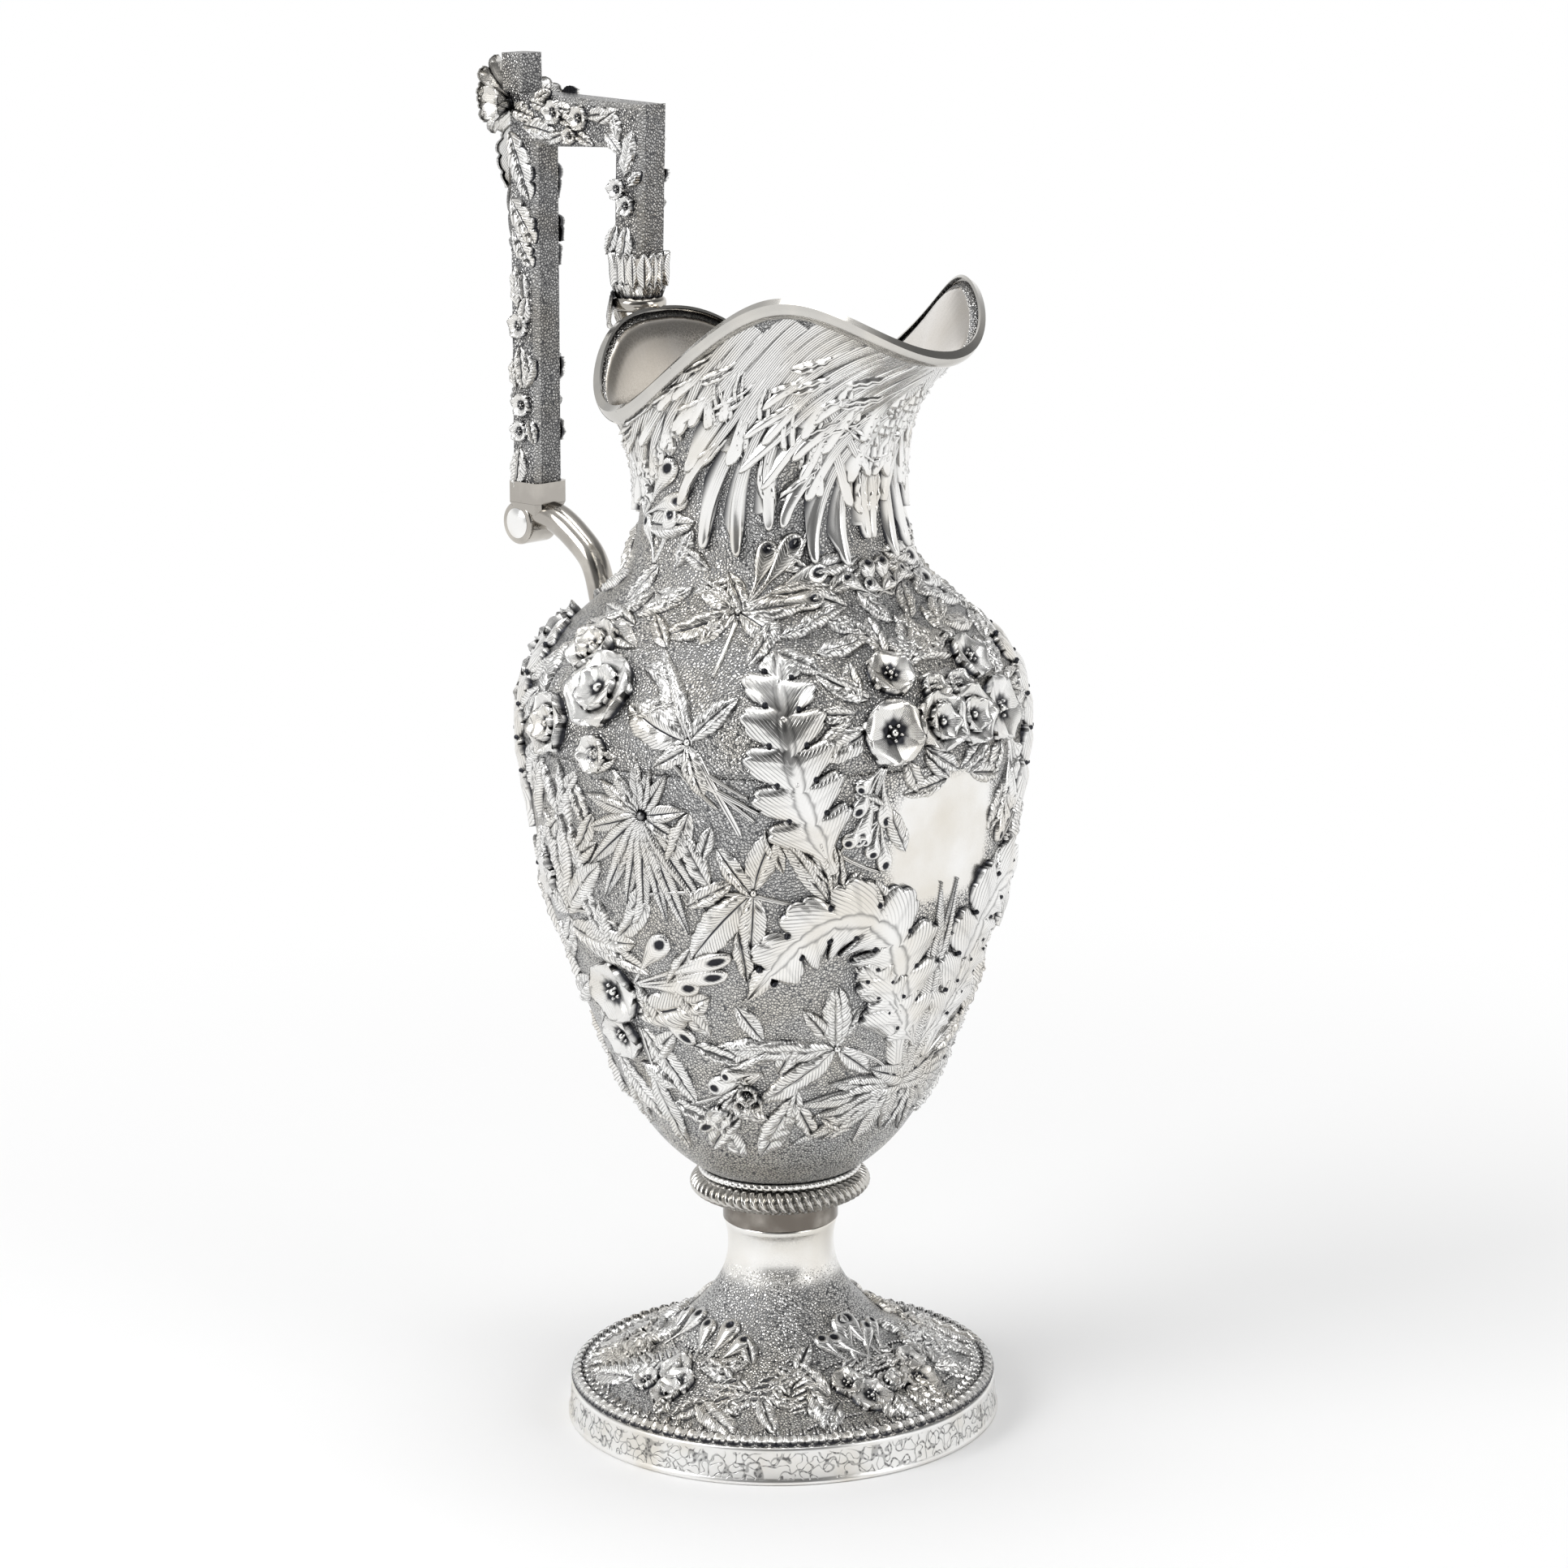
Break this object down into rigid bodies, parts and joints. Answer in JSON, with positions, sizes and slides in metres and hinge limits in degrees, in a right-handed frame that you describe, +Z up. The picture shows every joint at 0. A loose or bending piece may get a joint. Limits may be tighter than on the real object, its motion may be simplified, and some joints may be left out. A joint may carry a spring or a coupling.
{
  "type": "water pitcher",
  "caption": "Tall repousse silver water pitcher: ovoid body on a trumpet foot with a gadrooned ring, wavy spouted mouth, square loop handle on a scroll arm, chased flowers and leaves all over",
  "frame": {"origin": "centre of the foot's underside, on the body's axis", "axes": "+Z up along the body's axis; +X toward the spout; the handle is on -X"},
  "size_m": [0.1888, 0.1492, 0.4006],
  "materials": {
    "plain_silver": "polished silver with a faint warm tarnish",
    "matted_silver": "stippled ground, blackened in the punch marks",
    "leaf_silver": "chased silver, bright on the crowns and dark in the lines",
    "engraved_silver": "satin silver with a dotted wandering line"
  },
  "bodies": {
    "root": {"foot_rim_wire": "plain_silver", "foot_band": "engraved_silver", "foot_dome": "matted_silver", "stem_collar": "plain_silver", "gadrooned_ring": "plain_silver", "rope_ring": "plain_silver", "bowl": "matted_silver", "shoulder_and_neck": "matted_silver", "rim_moulding": "plain_silver", "handle_grip": "matted_silver", "handle_top_bar": "matted_silver", "handle_inner_leg": "matted_silver", "grip_ferrule": "plain_silver", "scroll_arm": "plain_silver", "scroll_volute": "plain_silver", "volute_buttons": "plain_silver", "leaf_socket": "leaf_silver", "blossom_ring": "leaf_silver", "mount_ring": "plain_silver", "mount_pin": "plain_silver", "lip_saddle": "plain_silver", "mount_blossoms": "leaf_silver", "crest_block": "matted_silver", "crest_leaf": "leaf_silver", "crest_blossoms": "leaf_silver", "drop_leaf": "leaf_silver"}
  },
  "joints": []
}
